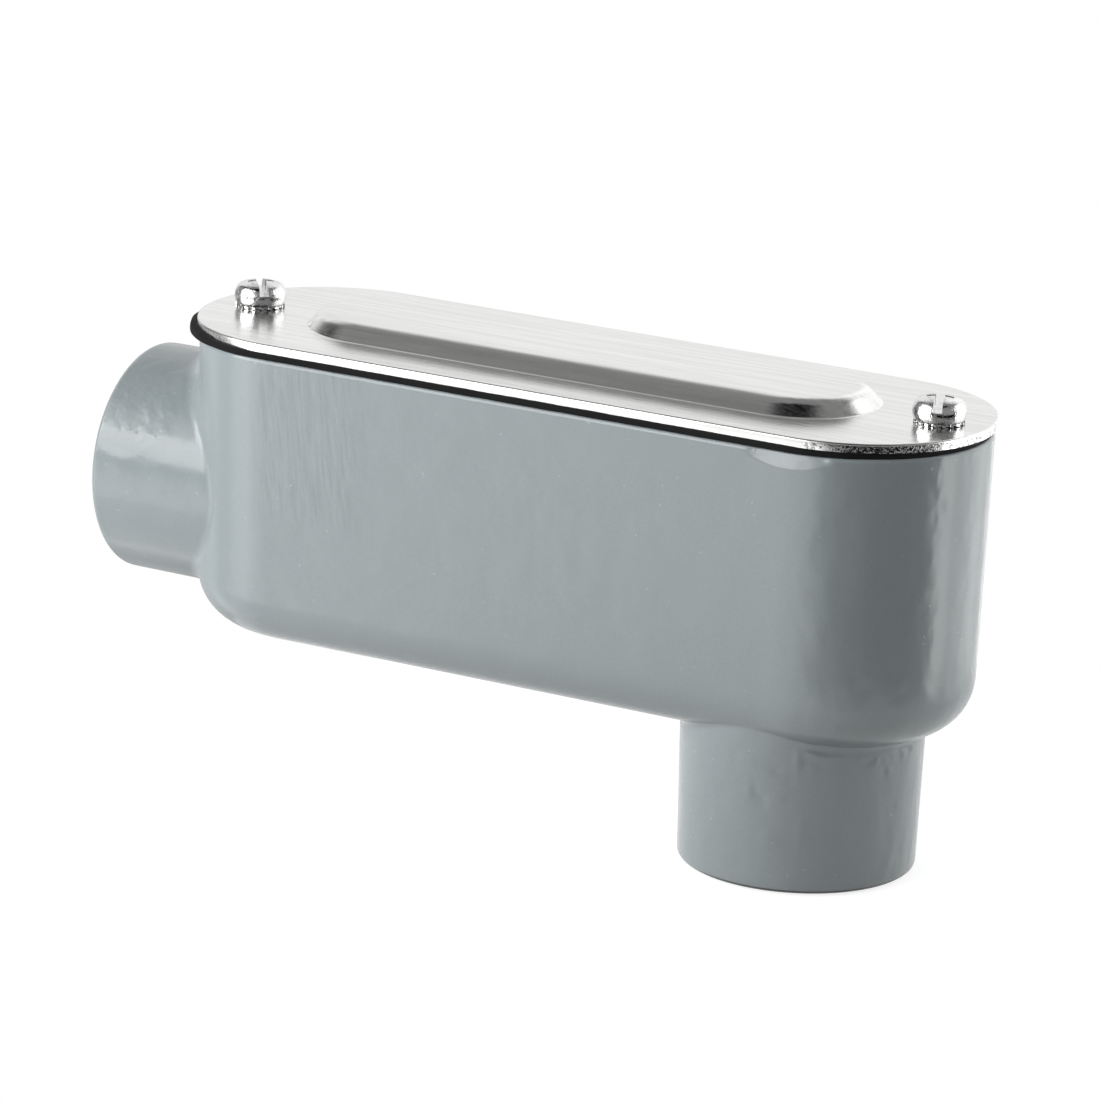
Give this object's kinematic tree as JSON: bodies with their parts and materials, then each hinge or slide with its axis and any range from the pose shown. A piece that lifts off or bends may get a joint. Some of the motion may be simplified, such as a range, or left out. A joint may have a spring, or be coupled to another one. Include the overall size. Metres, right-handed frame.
{
  "type": "lb conduit body",
  "caption": "Cast right-angle conduit box with a threaded hub on its end and another on its back, closed by a gasketed stamped cover held by slotted screws.",
  "frame": {"origin": "centre of the down hub's mouth, on that hub's axis", "axes": "+Z out through the cover, -Z out of the down hub, -X out of the end hub, +X towards the closed end of the box"},
  "size_m": [0.1357, 0.0406, 0.071],
  "materials": {
    "grey_paint": "glossy grey paint over a die casting, with slight orange peel",
    "black_rubber": "matte black die-cut sheet",
    "brushed_sheet": "bright plated sheet, brushed along its length",
    "plated_steel": "bright zinc plating"
  },
  "bodies": {
    "root": {"housing": "grey_paint", "cover_gasket": "black_rubber", "cover_plate": "brushed_sheet", "cover_screw_left": "plated_steel", "cover_screw_right": "plated_steel", "lock_washer_left": "plated_steel", "lock_washer_right": "plated_steel"}
  },
  "joints": []
}
